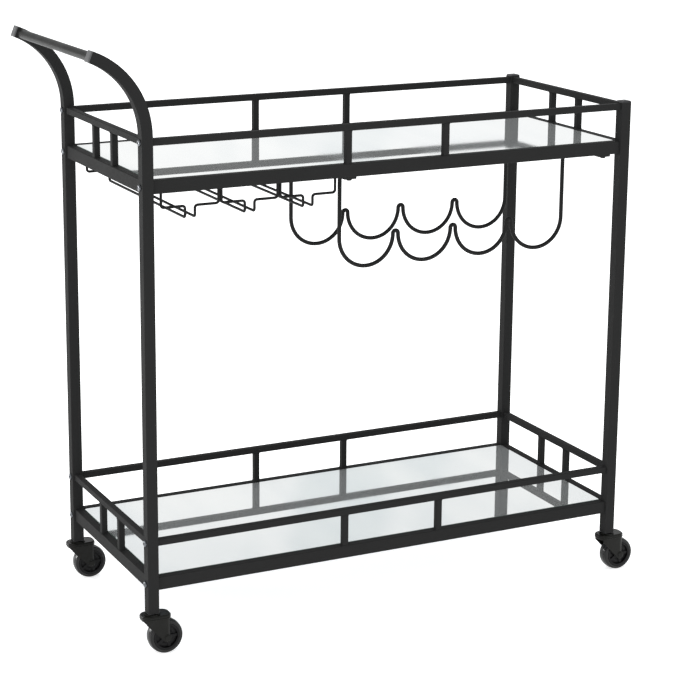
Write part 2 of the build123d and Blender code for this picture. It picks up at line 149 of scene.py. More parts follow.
@dataclass(frozen=True)
class Finish:
    """A surface with a base colour, a grain in relief and a slow change of gloss.

    The base for every solid finish of the cart: each one names its own values.
    """

    name: str
    colour: str
    shade: str
    roughness: float
    ior: float = 1.5
    metallic: float = 0.0
    specular: float = 0.5
    grain_mm: float = 2.4
    grain_depth_mm: float = 0.03
    cloud_mm: float = 55.0
    roughness_swing: float = 0.06
    wear_colour: str = "4a4a4b"
    wear: float = 0.25
    wear_mm: float = 9.0

    def build(self) -> bpy.types.Material:
        """Make the node material.

        Returns:
            A material with colour mottling, small worn spots, roughness change and relief.
        """
        material = bpy.data.materials.new(self.name)
        material.use_nodes = True
        tree = material.node_tree
        tree.nodes.clear()
        place = add_node(tree, "ShaderNodeTexCoord").outputs["Object"]
        grain = self.grain(tree, place)
        cloud = self.cloud(tree, place)
        mottled = add_node(
            tree, "ShaderNodeMix",
            {"Factor": cloud,
             MIX_A: linear_colour(self.colour), MIX_B: linear_colour(self.shade)},
            data_type="RGBA",
        ).outputs[MIX_RESULT]
        base = self.worn(tree, place, mottled)
        gloss = add_node(
            tree, "ShaderNodeMapRange",
            {"Value": cloud, "From Min": 0.3, "From Max": 0.7,
             "To Min": self.roughness - self.roughness_swing,
             "To Max": self.roughness + self.roughness_swing},
        ).outputs["Result"]
        relief = add_node(
            tree, "ShaderNodeBump",
            {"Height": grain, "Distance": self.grain_depth_mm * MM, "Strength": 1.0},
        ).outputs["Normal"]
        shader = add_node(
            tree, "ShaderNodeBsdfPrincipled",
            {"Base Color": base, "Roughness": gloss, "Normal": relief,
             "Metallic": self.metallic, "IOR": self.ior, "Specular IOR Level": self.specular},
        )
        add_node(tree, "ShaderNodeOutputMaterial", {"Surface": shader.outputs["BSDF"]})
        return material

    def cloud(self, tree: bpy.types.NodeTree, place: bpy.types.NodeSocket) -> bpy.types.NodeSocket:
        """Return the slow change that colour and gloss follow.

        Args:
            tree: The material's tree.
            place: Object coordinates in metres.

        Returns:
            A value from 0 to 1.
        """
        return add_node(
            tree, "ShaderNodeTexNoise",
            {"Vector": place, "Scale": per_metre(self.cloud_mm), "Detail": 4.0, "Roughness": 0.6},
        ).outputs["Fac"]

    def grain(self, tree: bpy.types.NodeTree, place: bpy.types.NodeSocket) -> bpy.types.NodeSocket:
        """Return the height of the surface grain.

        Args:
            tree: The material's tree.
            place: Object coordinates in metres.

        Returns:
            A height from 0 to 1.
        """
        return add_node(
            tree, "ShaderNodeTexNoise",
            {"Vector": place, "Scale": per_metre(self.grain_mm), "Detail": 2.0, "Roughness": 0.45},
        ).outputs["Fac"]

    def worn(
        self, tree: bpy.types.NodeTree, place: bpy.types.NodeSocket, base: bpy.types.NodeSocket
    ) -> bpy.types.NodeSocket:
        """Return the base colour with small worn and dusty spots.

        Args:
            tree: The material's tree.
            place: Object coordinates in metres.
            base: The colour without wear.

        Returns:
            The colour with the wear colour in scattered spots.
        """
        spots = add_node(
            tree, "ShaderNodeTexNoise",
            {"Vector": place, "Scale": per_metre(self.wear_mm), "Detail": 6.0, "Roughness": 0.65},
        ).outputs["Fac"]
        amount = add_node(
            tree, "ShaderNodeMapRange",
            {"Value": spots, "From Min": 0.6, "From Max": 0.75, "To Min": 0.0, "To Max": self.wear},
        ).outputs["Result"]
        return add_node(
            tree, "ShaderNodeMix",
            {"Factor": amount, MIX_A: base, MIX_B: linear_colour(self.wear_colour)},
            data_type="RGBA",
        ).outputs[MIX_RESULT]


@dataclass(frozen=True)
class BrushedGrain(Finish):
    """A finish whose grain runs in fine lines round or along the piece."""

    stretch: tuple[float, float, float] = (1.0, 1.0, 0.08)

    def grain(self, tree: bpy.types.NodeTree, place: bpy.types.NodeSocket) -> bpy.types.NodeSocket:
        """Return the height of drawn lines, long along the axis with the small stretch.

        Args:
            tree: The material's tree.
            place: Object coordinates in metres.

        Returns:
            A height from 0 to 1.
        """
        drawn = add_node(
            tree, "ShaderNodeMapping", {"Vector": place, "Scale": self.stretch}
        ).outputs["Vector"]
        return add_node(
            tree, "ShaderNodeTexNoise",
            {"Vector": drawn, "Scale": per_metre(self.grain_mm), "Detail": 3.0, "Roughness": 0.6},
        ).outputs["Fac"]


@dataclass(frozen=True)
class SilveredGlass(Finish):
    """Float glass silvered behind: a bright mirror whose colour holds soft bands of painted
    reflection.
    """

    # Stretch of the painted reflection bands: long along Y.
    reflection_stretch: tuple[float, float, float] = (1.0, 0.12, 1.0)

    def cloud(self, tree: bpy.types.NodeTree, place: bpy.types.NodeSocket) -> bpy.types.NodeSocket:
        """Return soft bands across the panel: painted reflections in the glass's own colour.

        Args:
            tree: The material's tree.
            place: Object coordinates in metres.

        Returns:
            A value from 0 to 1.
        """
        drawn = add_node(
            tree, "ShaderNodeMapping", {"Vector": place, "Scale": self.reflection_stretch}
        ).outputs["Vector"]
        # Paler and darker bands, painted into the colour as reflections.
        painted_reflections = add_node(
            tree, "ShaderNodeTexNoise",
            {"Vector": drawn, "Scale": per_metre(self.cloud_mm), "Detail": 2.0, "Roughness": 0.5},
        ).outputs["Fac"]
        return add_node(
            tree, "ShaderNodeMapRange", {"Value": painted_reflections, "From Min": 0.35, "From Max": 0.65}
        ).outputs["Result"]

    def grain(self, tree: bpy.types.NodeTree, place: bpy.types.NodeSocket) -> bpy.types.NodeSocket:
        """Return the slow waviness of float glass.

        Args:
            tree: The material's tree.
            place: Object coordinates in metres.

        Returns:
            A height from 0 to 1.
        """
        return add_node(
            tree, "ShaderNodeTexNoise",
            {"Vector": place, "Scale": per_metre(self.grain_mm), "Detail": 1.0, "Roughness": 0.3},
        ).outputs["Fac"]


# Black powder coat, sprayed as powder and baked: soft grey-black with a fine orange peel and next
# to no mirror light, so that flat faces stay dark beside the pale surround.
# Real peel is about 1 mm across; it is drawn at 2.4 mm so that it shows.
POWDER_COAT = Finish(
    "powder_coated_steel_satin", "262626", "2a2a2a", 0.55, specular=0.015, wear_colour="373737",
)
# The same powder on bent wire, where the thin section shows the peel less.
COATED_WIRE = Finish(
    "powder_coated_wire_satin", "202020", "242424", 0.5, specular=0.05, grain_mm=1.6,
    grain_depth_mm=0.015, cloud_mm=30.0, wear_colour="323232",
)
# The push bar's powder coat, polished a little by hands: smoother, so its top catches the light.
HANDLED_COAT = Finish(
    "powder_coated_steel_handled", "181817", "1e1e1d", 0.36, specular=0.06, grain_mm=2.0,
    grain_depth_mm=0.012, cloud_mm=40.0, roughness_swing=0.07, wear_colour="3a3a39",
)
# Black electrocoat on pressed steel: thin, even and glossier than powder.
ELECTROCOAT = Finish(
    "electrocoated_pressed_steel", "131311", "191917", 0.22, specular=0.13, grain_mm=1.8,
    grain_depth_mm=0.01, cloud_mm=18.0, wear_colour="232325", wear=0.4,
)
# Black polypropylene, moulded with a fine spark texture: matt with a soft sheen on edges.
MOULDED_PP = Finish(
    "moulded_polypropylene_black", "19191b", "202022", 0.42, ior=1.49, specular=0.35, grain_mm=0.9,
    grain_depth_mm=0.012, cloud_mm=14.0, wear_colour="363638", wear=0.3,
)
# Grey polypropylene of the handle plugs: the same moulding in a paler masterbatch.
PLUG_PP = Finish(
    "moulded_polypropylene_grey", "434344", "4d4d4e", 0.4, ior=1.49, specular=0.4, grain_mm=0.9,
    grain_depth_mm=0.012, cloud_mm=14.0, wear_colour="6a6a6b", wear=0.3,
)
# Black nylon, moulded in a polished tool: smooth wheel hubs with small, sharp highlights.
MOULDED_NYLON = Finish(
    "moulded_nylon_gloss_black", "0d0d0e", "121213", 0.18, ior=1.53, specular=0.12, grain_mm=1.4,
    grain_depth_mm=0.006, cloud_mm=12.0, wear_colour="1e1e20", wear=0.3,
)
# Thermoplastic polyurethane tread: glossy black with faint flow marks and a trace of floor dust.
TREAD = Finish(
    "moulded_polyurethane_tread", "0b0b0b", "101010", 0.16, specular=0.3, grain_mm=1.1,
    grain_depth_mm=0.008, cloud_mm=7.0, roughness_swing=0.07, wear_colour="232220", wear=0.4,
)
# Zinc plating on a cold-headed bolt: mid-grey metal with fine turning lines.
ZINC_PLATE = BrushedGrain(
    "zinc_plated_steel_turned", "66686b", "4f5155", 0.26, metallic=1.0, grain_mm=0.5,
    grain_depth_mm=0.006, cloud_mm=3.0, wear_colour="a2a4a6", wear=0.5, stretch=(0.1, 1.0, 1.0),
)
# Silvered float glass: nearly white, a little green, with a soft haze that lifts dark reflections.
# Its colour is paler and darker in soft bands of painted reflection.
MIRROR_FACE = SilveredGlass(
    "silvered_float_glass", "f1f3f2", "e5e9ea", 0.035, metallic=0.76, grain_mm=180.0,
    grain_depth_mm=0.02, cloud_mm=120.0, roughness_swing=0.02, wear_colour="f4f8f6", wear=0.1,
)
# Ground glass edge: frosted green where the sheet was cut and arrissed.
GLASS_EDGE = Finish(
    "ground_glass_edge", "5f6e69", "525f5b", 0.38, ior=1.52, grain_mm=0.6, grain_depth_mm=0.03,
    cloud_mm=20.0, wear_colour="8d9b96", wear=0.4,
)
# Grey lacquer over the silver on the mirror's back: rolled on, with faint roller marks.
BACK_LACQUER = BrushedGrain(
    "rolled_mirror_backing_lacquer", "6d7378", "7b8186", 0.5, grain_mm=3.0, grain_depth_mm=0.03,
    cloud_mm=70.0, wear_colour="8c9296", stretch=(0.05, 1.0, 1.0),
)


class FinishRack:
    """The finishes, each made into a material the first time it is asked for."""

    def __init__(self) -> None:
        """Start with no material made."""
        self._made: dict[str, bpy.types.Material] = {}

    def material(self, finish: Finish) -> bpy.types.Material:
        """Return a finish's material.

        Args:
            finish: The finish.

        Returns:
            Its material, made on the first call.
        """
        if finish.name not in self._made:
            self._made[finish.name] = finish.build()
        return self._made[finish.name]


class Bench:
    """Where meshes become named pieces of the cart."""

    def __init__(self, rack: FinishRack) -> None:
        """Keep the rack of finishes."""
        self.rack = rack

    def add(
        self, name: str, mesh: bmesh.types.BMesh, body: str, finishes: Sequence[Finish],
        slot: Slot, replaces: Iterable[str] = (), smooth: bool = True,
    ) -> bpy.types.Object:
        """Turn a mesh into a piece that rides on a body.

        Args:
            name: The piece's name.
            mesh: The mesh in the row frame, in metres. It is freed.
            body: The CAD body that the piece moves with.
            finishes: One finish for each material number of the mesh's faces.
            slot: The record's slot for the piece. It is not used.
            replaces: CAD nodes that the piece stands for.
            smooth: Whether faces meet smoothly below the sharp angle.

        Returns:
            The new object.
        """
        bmesh.ops.recalc_face_normals(mesh, faces=mesh.faces)
        data = bpy.data.meshes.new(name)
        mesh.to_mesh(data)
        mesh.free()
        for finish in finishes:
            data.materials.append(self.rack.material(finish))
        piece = bpy.data.objects.new(name, data)
        bpy.context.scene.collection.objects.link(piece)
        if smooth:
            data.shade_smooth()
            data.set_sharp_from_angle(angle=SHARP_ANGLE)
        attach(piece, body)
        if replaces:
            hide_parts(*replaces)
        LOG.info("piece %s on %s, %d faces", name, body, len(data.polygons))
        return piece

    def dress(self, node: str, finish: Finish, bevel_mm: float = 0.0) -> None:
        """Give a CAD node its finish, and soften its edges.

        Args:
            node: The CAD node's name.
            finish: Its finish.
            bevel_mm: Width of the softened edges, or 0 for none.
        """
        piece = frame["nodes"][node]
        piece.data.materials.clear()
        piece.data.materials.append(self.rack.material(finish))
        if bevel_mm:
            soften = piece.modifiers.new("soft_edges", "BEVEL")
            soften.width = bevel_mm * MM
            soften.segments = BEVEL_SEGMENTS
            soften.limit_method = "ANGLE"
            soften.angle_limit = BEVEL_ANGLE
        LOG.info("dressed %s with %s", node, finish.name)


def bridge_rings(
    mesh: bmesh.types.BMesh, rings: Sequence[Sequence[Vector]], closed: bool = False
) -> list[list[bmesh.types.BMVert]]:
    """Join rings of points with quads.

    Args:
        mesh: The mesh that gets the faces.
        rings: Rings with the same number of points.
        closed: Whether the last ring joins the first.

    Returns:
        The rings of new vertices.
    """
    made = [[mesh.verts.new(point) for point in ring] for ring in rings]
    pairs = list(zip(made, made[1:]))
    if closed:
        pairs.append((made[-1], made[0]))
    count = len(made[0])
    for lower, upper in pairs:
        for i in range(count):
            j = (i + 1) % count
            mesh.faces.new((lower[i], lower[j], upper[j], upper[i]))
    return made


def cap_ring(mesh: bmesh.types.BMesh, ring: Sequence[bmesh.types.BMVert]) -> None:
    """Close a ring of vertices with one face."""
    mesh.faces.new(ring)


def axis_frame(origin: Vector, direction: Vector) -> Matrix:
    """Return a matrix whose Z runs along direction from origin."""
    turn = direction.normalized().to_track_quat("Z", "Y").to_matrix().to_4x4()
    return Matrix.Translation(origin) @ turn


def circle(radius: float, height: float, steps: int) -> list[Vector]:
    """Return points round the Z axis.

    Args:
        radius: Their distance from the axis.
        height: Their height.
        steps: How many there are.

    Returns:
        The points, anticlockwise from the X axis.
    """
    angles = [2 * math.pi * i / steps for i in range(steps)]
    return [Vector((radius * math.cos(a), radius * math.sin(a), height)) for a in angles]


def turned(
    mesh: bmesh.types.BMesh, profile: Sequence[tuple[float, float]], place: Matrix, steps: int
) -> None:
    """Add a turned shape.

    Args:
        mesh: The mesh that gets the shape.
        profile: (radius, height) in metres along the shape's outline. It is a closed loop when
            the first and last points are the same, and otherwise each end gets a flat face.
        place: Puts the turning axis, local Z, in the row frame.
        steps: Faces round the axis.
    """
    loop = profile[0] == profile[-1]
    points = list(profile[:-1]) if loop else list(profile)
    rings = [[place @ p for p in circle(radius, height, steps)] for radius, height in points]
    made = bridge_rings(mesh, rings, closed=loop)
    if not loop:
        cap_ring(mesh, made[0])
        cap_ring(mesh, made[-1])


def rounded_square(
    width: float, height: float, corner: float, steps: int = 6
) -> list[tuple[float, float]]:
    """Return points round a rectangle with rounded corners, centred on the origin.

    Args:
        width: Its size along the first axis.
        height: Its size along the second axis.
        corner: Radius of its corners.
        steps: Straight pieces in each corner.

    Returns:
        The points, anticlockwise.
    """
    points = []
    for quarter in range(4):
        turn = quarter * math.pi / 2
        sx = 1 if quarter in (0, 3) else -1
        sy = 1 if quarter in (0, 1) else -1
        middle = (sx * (width / 2 - corner), sy * (height / 2 - corner))
        for i in range(steps + 1):
            angle = turn + i / steps * math.pi / 2
            out_x, out_y = corner * math.cos(angle), corner * math.sin(angle)
            points.append((middle[0] + out_x, middle[1] + out_y))
    return points


def crowned_plate(
    mesh: bmesh.types.BMesh, place: Matrix, width: float, corner: float, skirt: float, crown: float
) -> None:
    """Add a square plate with rounded corners and a domed top.

    Args:
        mesh: The mesh that gets the plate.
        place: Puts the plate's base middle and its up direction, local Z.
        width: Side of the plate.
        corner: Radius of its upright corners.
        skirt: Height of its upright side.
        crown: Height of the dome over the skirt.
    """
    dome_rings = 9
    fullness = 0.6
    outline = rounded_square(width, width, corner)
    loops = [[place @ Vector((x, y, 0)) for x, y in outline]]
    for step in range(dome_rings):
        share = step / dome_rings
        shrink = math.cos(share * math.pi / 2) ** fullness
        rise = skirt + crown * math.sin(share * math.pi / 2)
        loops.append([place @ Vector((x * shrink, y * shrink, rise)) for x, y in outline])
    made = bridge_rings(mesh, loops)
    cap_ring(mesh, made[0])
    cap_ring(mesh, made[-1])


def bead_round(
    mesh: bmesh.types.BMesh, place: Matrix, outline: Sequence[tuple[float, float]], radius: float,
) -> None:
    """Add a rippled weld bead along a closed outline.

    Args:
        mesh: The mesh that gets the bead.
        place: Puts the outline's plane in the row frame.
        outline: Points of the closed outline in that plane, in metres.
        radius: Radius of the bead.
    """
    ripple_length = 1.6 * MM
    ripple = 0.18
    section_steps = 8
    total = len(outline)
    stations = []
    for i in range(total):
        start, end = Vector((*outline[i], 0)), Vector((*outline[(i + 1) % total], 0))
        pieces = max(1, round((end - start).length / (ripple_length / 2)))
        stations += [start.lerp(end, k / pieces) for k in range(pieces)]
    rings = []
    for i, point in enumerate(stations):
        along = stations[(i + 1) % len(stations)] - stations[i - 1]
        outward = along.cross(Vector((0, 0, 1))).normalized()
        size = radius * (1 + ripple * (-1) ** i)
        ring = []
        for k in range(section_steps):
            angle = 2 * math.pi * k / section_steps
            lift = Vector((0, 0, size * math.sin(angle)))
            ring.append(place @ (point + outward * size * math.cos(angle) + lift))
        rings.append(ring)
    bridge_rings(mesh, rings, closed=True)


def hex_head(
    mesh: bmesh.types.BMesh, place: Matrix, radius: float, rise: float, socket: float, depth: float
) -> None:
    """Add a button head with a hexagon socket, its seat at the origin of place.

    Args:
        mesh: The mesh that gets the head.
        place: Puts the seat, with the head rising along local Z.
        radius: Radius of the head.
        rise: Height of the head.
        socket: Distance across the socket's flats.
        depth: Depth of the socket.
    """
    seat_share, edge_share, shoulder_share = 0.93, 0.12, 0.3
    top_share = 0.62
    mouth_share, chamfer_share = 1.08, 0.12
    dome = [
        (radius * seat_share, 0.0), (radius, rise * edge_share), (radius, rise * shoulder_share)
    ]
    for share in (0.25, 0.5, 0.75, 1.0):
        angle = share * math.pi / 2
        reach = top_share + (1 - top_share) * math.cos(angle)
        climb = shoulder_share + (1 - shoulder_share) * math.sin(angle)
        dome.append((radius * reach, rise * climb))
    rings = [[place @ p for p in circle(out, height, ROUND_STEPS)] for out, height in dome]
    mouth = ((rise, mouth_share), (rise - depth * chamfer_share, 1.0), (rise - depth, 1.0))
    for height, share in mouth:
        ring = []
        for i in range(ROUND_STEPS):
            angle = 2 * math.pi * i / ROUND_STEPS
            off_flat = angle % (math.pi / 3) - math.pi / 6
            reach = socket / 2 / math.cos(off_flat) * share
            ring.append(place @ Vector((reach * math.cos(angle), reach * math.sin(angle), height)))
        rings.append(ring)
    made = bridge_rings(mesh, rings)
    cap_ring(mesh, made[0])
    cap_ring(mesh, made[-1])


def middle_of(node: str) -> Vector:
    """Return the middle of a CAD node's box."""
    low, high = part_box(node)
    return (low + high) / 2


@dataclass
class TubeFrame:
    """The square tube frame: legs, rails, uprights, their welds, plugs and caps."""

    bench: Bench
    leg: float = 16.0 * MM
    corner: float = 1.2 * MM
    bead: float = 0.9 * MM
    cap_skirt: float = 1.0 * MM
    cap_crown: float = 2.0 * MM
    plug_skirt: float = 1.1 * MM
    plug_crown: float = 0.9 * MM
    handle_angle: float = math.radians(68.0)
    # How far each bead's middle stands off its joint, in shares of the bead's radius.
    rail_bead_offset: float = 0.2
    upright_bead_offset: float = 0.1
    bar_bead_offset: float = 0.3
    upright_bead_share: float = 0.8
    cap_corner_share: float = 1.4
    weld_corner_steps: int = 3
    bar_weld_steps: int = 24

    def build(self) -> None:
        """Dress the tubes and add welds, plugs and caps."""
        for end in ENDS:
            for row in ROWS:
                self.bench.dress(f"leg_{row}_{end}", POWDER_COAT)
        self.bench.dress("push_bar", HANDLED_COAT)
        self.bench.dress("leg_stem_sockets", MOULDED_PP, 0.25)
        for tray in TRAYS:
            for side in (*ROWS, *ENDS):
                self.bench.dress(f"{tray}_{side}_shelf_rail", POWDER_COAT)
                self.bench.dress(f"{tray}_{side}_guard_rail", POWDER_COAT)
            self.bench.dress(f"{tray}_guard_uprights", POWDER_COAT)
            self.bench.dress(f"{tray}_rail_inserts", ZINC_PLATE)
            self.rail_welds(tray)
            self.upright_welds(tray)
        self.bar_welds()
        self.top_caps()
        self.end_plugs()

    def rail_welds(self, tray: str) -> None:
        """Add the beads where the end rails meet the legs.

        Args:
            tray: The tray whose rails they are.
        """
        mesh = bmesh.new()
        turn = Matrix.Rotation(math.pi / 2, 4, "X")
        for end in ENDS:
            for kind in ("shelf", "guard"):
                low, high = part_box(f"{tray}_{end}_{kind}_rail")
                width, height = high.x - low.x, high.z - low.z
                outline = rounded_square(width, height, self.corner, self.weld_corner_steps)
                for y, way in ((low.y, 1), (high.y, -1)):
                    middle = (low + high) / 2
                    middle.y = y + way * self.bead * self.rail_bead_offset
                    bead_round(mesh, Matrix.Translation(middle) @ turn, outline, self.bead)
        self.bench.add(f"{tray}_rail_welds", mesh, "cart", [POWDER_COAT], Slot.STEEL)

    def upright_welds(self, tray: str) -> None:
        """Add the beads at the top and foot of each guard upright.

        Args:
            tray: The tray whose uprights they are.
        """
        mesh = bmesh.new()
        radius = self.bead * self.upright_bead_share
        for low, high in solid_boxes(f"{tray}_guard_uprights"):
            width, depth = high.x - low.x, high.y - low.y
            outline = rounded_square(width, depth, self.corner, self.weld_corner_steps)
            for z, way in ((low.z, 1), (high.z, -1)):
                middle = (low + high) / 2
                middle.z = z + way * self.bead * self.upright_bead_offset
                bead_round(mesh, Matrix.Translation(middle), outline, radius)
        self.bench.add(f"{tray}_upright_welds", mesh, "cart", [POWDER_COAT], Slot.STEEL)

    def bar_welds(self) -> None:
        """Add the beads where the push bar meets the handle tubes."""
        mesh = bmesh.new()
        low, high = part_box("push_bar")
        outline = [(p.x, p.y) for p in circle((high.z - low.z) / 2, 0.0, self.bar_weld_steps)]
        turn = Matrix.Rotation(math.pi / 2, 4, "X")
        for y, way in ((low.y, 1), (high.y, -1)):
            middle = (low + high) / 2
            middle.y = y + way * self.bead * self.bar_bead_offset
            bead_round(mesh, Matrix.Translation(middle) @ turn, outline, self.bead)
        self.bench.add("push_bar_welds", mesh, "cart", [POWDER_COAT], Slot.STEEL)

    def top_caps(self) -> None:
        """Add the domed caps of the right legs."""
        mesh = bmesh.new()
        for low, high in solid_boxes("leg_top_caps"):
            base = (low + high) / 2
            base.z = high.z - self.cap_skirt - self.cap_crown
            crowned_plate(
                mesh, Matrix.Translation(base), self.leg, self.corner * self.cap_corner_share,
                self.cap_skirt, self.cap_crown,
            )
        self.bench.add(
            "leg_top_cap_domes", mesh, "cart", [MOULDED_PP], Slot.PLASTIC, ["leg_top_caps"]
        )

    def end_plugs(self) -> None:
        """Add the domed plugs of the handle tubes."""
        mesh = bmesh.new()
        tangent = Vector((-math.sin(self.handle_angle), 0, math.cos(self.handle_angle)))
        across = Vector((math.cos(self.handle_angle), 0, math.sin(self.handle_angle)))
        for low, high in solid_boxes("handle_end_plugs"):
            face = self.plug_face(low, high, tangent, across)
            place = Matrix.Translation(face) @ Matrix((
                (across.x, 0, tangent.x, 0),
                (0, 1, 0, 0),
                (across.z, 0, tangent.z, 0),
                (0, 0, 0, 1),
            ))
            crowned_plate(mesh, place, self.leg, self.corner, self.plug_skirt, self.plug_crown)
        self.bench.add(
            "handle_end_plug_domes", mesh, "cart", [PLUG_PP], Slot.PLASTIC, ["handle_end_plugs"]
        )

    def plug_face(self, low: Vector, high: Vector, tangent: Vector, across: Vector) -> Vector:
        """Return the middle of the handle tube's end face, from the plug's box.

        Args:
            low: The lowest corner of the plug's box.
            high: Its highest corner.
            tangent: The way the tube points.
            across: The way across the tube, in the plane of its bend.

        Returns:
            The middle of the end face.
        """
        thickness = self.plug_skirt + self.plug_crown
        half = self.leg / 2
        x = low.x + half * across.x + thickness * -tangent.x
        z = high.z - half * across.z - thickness * tangent.z
        return Vector((x, (low.y + high.y) / 2, z))


def solid_boxes(node: str) -> list[tuple[Vector, Vector]]:
    """Return the boxes of the separate solids of a CAD node, at rest.

    Args:
        node: The CAD node's name.

    Returns:
        The lowest and highest corner of each solid.
    """
    same_point = 1e-6
    mesh = bmesh.new()
    mesh.from_mesh(frame["nodes"][node].data)
    bmesh.ops.remove_doubles(mesh, verts=mesh.verts, dist=same_point)
    seen: set[int] = set()
    boxes = []
    mesh.verts.ensure_lookup_table()
    for first in mesh.verts:
        if first.index in seen:
            continue
        stack, points = [first], []
        seen.add(first.index)
        while stack:
            vertex = stack.pop()
            points.append(vertex.co.copy())
            for edge in vertex.link_edges:
                other = edge.other_vert(vertex)
                if other.index not in seen:
                    seen.add(other.index)
                    stack.append(other)
        low = Vector(min(p[i] for p in points) for i in range(3))
        high = Vector(max(p[i] for p in points) for i in range(3))
        boxes.append((low, high))
    mesh.free()
    return boxes


@dataclass
class Fasteners:
    """The bolts through the legs and the screws of the wine rack."""

    bench: Bench
    bolt_head: float = 4.5 * MM
    bolt_rise: float = 2.8 * MM
    bolt_socket: float = 3.0 * MM
    bolt_shank: float = 2.5 * MM
    screw_head: float = 4.0 * MM
    screw_rise: float = 2.4 * MM
    screw_socket: float = 2.5 * MM
    screw_shank: float = 2.0 * MM
    socket_share: float = 0.62
    shank_steps: int = 24

    def build(self) -> None:
        """Make every bolt and screw."""
        for tray in TRAYS:
            mesh = bmesh.new()
            for low, high in solid_boxes(f"{tray}_frame_bolts"):
                self.bolt(mesh, low, high)
            self.bench.add(
                f"{tray}_socket_bolts", mesh, "cart", [ZINC_PLATE], Slot.ZINC,
                [f"{tray}_frame_bolts"],
            )
        mesh = bmesh.new()
        for low, high in solid_boxes("wine_bar_screws"):
            middle = (low + high) / 2
            seat = Vector((middle.x, middle.y, low.z + self.screw_rise))
            down = Vector((0, 0, -1))
            hex_head(
                mesh, axis_frame(seat, down), self.screw_head, self.screw_rise,
                self.screw_socket, self.screw_rise * self.socket_share,
            )
            shank = [(self.screw_shank, 0.0), (self.screw_shank, high.z - seat.z)]
            turned(mesh, shank, Matrix.Translation(seat), self.shank_steps)
        self.bench.add(
            "wine_bar_socket_screws", mesh, "cart", [ELECTROCOAT], Slot.STEEL, ["wine_bar_screws"]
        )

    def bolt(self, mesh: bmesh.types.BMesh, low: Vector, high: Vector) -> None:
        """Add one leg bolt in the place of a CAD bolt, its head outward.

        Args:
            mesh: The mesh that gets the bolt.
            low: The lowest corner of the CAD bolt's box.
            high: Its highest corner.
        """
        side = Side.HANDLE if (low.x + high.x) / 2 < middle_of("upper_mirror").x else Side.PLAIN
        outward = Vector((side.value, 0, 0))
        tip = low.x if side is Side.HANDLE else high.x
        seat = (low + high) / 2
        seat.x = tip - side.value * self.bolt_rise
        hex_head(
            mesh, axis_frame(seat, outward), self.bolt_head, self.bolt_rise,
            self.bolt_socket, self.bolt_rise * self.socket_share,
        )
        length = high.x - low.x - self.bolt_rise
        shank = [(self.bolt_shank, 0.0), (self.bolt_shank, length)]
        turned(mesh, shank, axis_frame(seat, -outward), self.shank_steps)


@dataclass
class MirrorShelf:
    """A mirrored shelf: glass with ground edges, its backing and the steel rests under it."""

    bench: Bench
    tray: str
    arris: float = 0.7 * MM
    corner: float = 3.0 * MM

    def build(self) -> None:
        """Make the panel and dress its rests."""
        self.panel()
        self.bench.dress(f"{self.tray}_mirror_rests", POWDER_COAT, 0.4)

    def panel(self) -> None:
        """Add the glass panel with a polished face, ground edges and a lacquered back."""
        low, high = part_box(f"{self.tray}_mirror")
        middle = (low + high) / 2
        width, depth = high.x - low.x, high.y - low.y
        layers = [
            (low.z, self.arris), (low.z + self.arris, 0.0),
            (high.z - self.arris, 0.0), (high.z, self.arris),
        ]
        mesh = bmesh.new()
        rings = []
        for z, inset in layers:
            outline = rounded_square(width - 2 * inset, depth - 2 * inset, self.corner)
            rings.append([Vector((middle.x + x, middle.y + y, z)) for x, y in outline])
        made = bridge_rings(mesh, rings)
        for face in mesh.faces:
            face.material_index = 1
        back = mesh.faces.new(made[0])
        back.material_index = 2
        face = mesh.faces.new(made[-1])
        face.material_index = 0
        self.bench.add(
            f"{self.tray}_mirror_panel", mesh, "cart", [MIRROR_FACE, GLASS_EDGE, BACK_LACQUER],
            Slot.MIRROR, [f"{self.tray}_mirror"], smooth=False,
        )


@dataclass
class WireRacks:
    """The stemware channels and the wine rack under the upper tray."""

    bench: Bench
    channels: int = 3
    stem_radius: float = 1.9 * MM
    wine_radius: float = 3.0 * MM
    post_weld_radii: tuple[float, float, float] = (2.5 * MM, 1.0 * MM, 3.8 * MM)
    post_weld_rise: float = 5.0 * MM
    wave_weld_radii: tuple[float, float, float] = (4.0 * MM, 1.6 * MM, 1.3 * MM)
    wave_weld_inset: float = 4.0 * MM
    wave_weld_drop: float = 0.4 * MM
    wave_weld_spread: float = 0.8

    def build(self) -> None:
        """Dress the wires and add their welds."""
        for number in range(1, self.channels + 1):
            self.bench.dress(f"stemware_channel_{number}", COATED_WIRE)
        for row in ROWS:
            self.bench.dress(f"wine_wave_{row}", COATED_WIRE)
        for end in ENDS:
            self.bench.dress(f"wine_bar_{end}", POWDER_COAT, 0.5)
        self.post_welds()
        self.wave_welds()

    def post_welds(self) -> None:
        """Add weld nuggets where the stemware posts lie on the long rails."""
        mesh = bmesh.new()
        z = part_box("upper_front_shelf_rail")[0].z + self.post_weld_rise
        for number in range(1, self.channels + 1):
            channel = f"stemware_channel_{number}"
            left_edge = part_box(channel)[0].x
            for low, high in solid_boxes(channel):
                post_left = abs(low.x - left_edge) < self.stem_radius
                x = low.x + self.stem_radius if post_left else high.x - self.stem_radius
                for y in (low.y, high.y):
                    nugget(mesh, Vector((x, y, z)), Vector(self.post_weld_radii))
        self.bench.add("stemware_post_welds", mesh, "cart", [POWDER_COAT], Slot.WIRE)

    def wave_welds(self) -> None:
        """Add weld nuggets where the waves' ends lie under the flat bars."""
        mesh = bmesh.new()
        spread = self.wine_radius * self.wave_weld_spread
        for row in ROWS:
            low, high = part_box(f"wine_wave_{row}")
            y = (low.y + high.y) / 2
            z = high.z - self.wave_weld_drop
            for x in (low.x + self.wave_weld_inset, high.x - self.wave_weld_inset):
                for way in (-1, 1):
                    spot = Vector((x, y + way * spread, z))
                    nugget(mesh, spot, Vector(self.wave_weld_radii))
        self.bench.add("wine_wave_welds", mesh, "cart", [POWDER_COAT], Slot.WIRE)


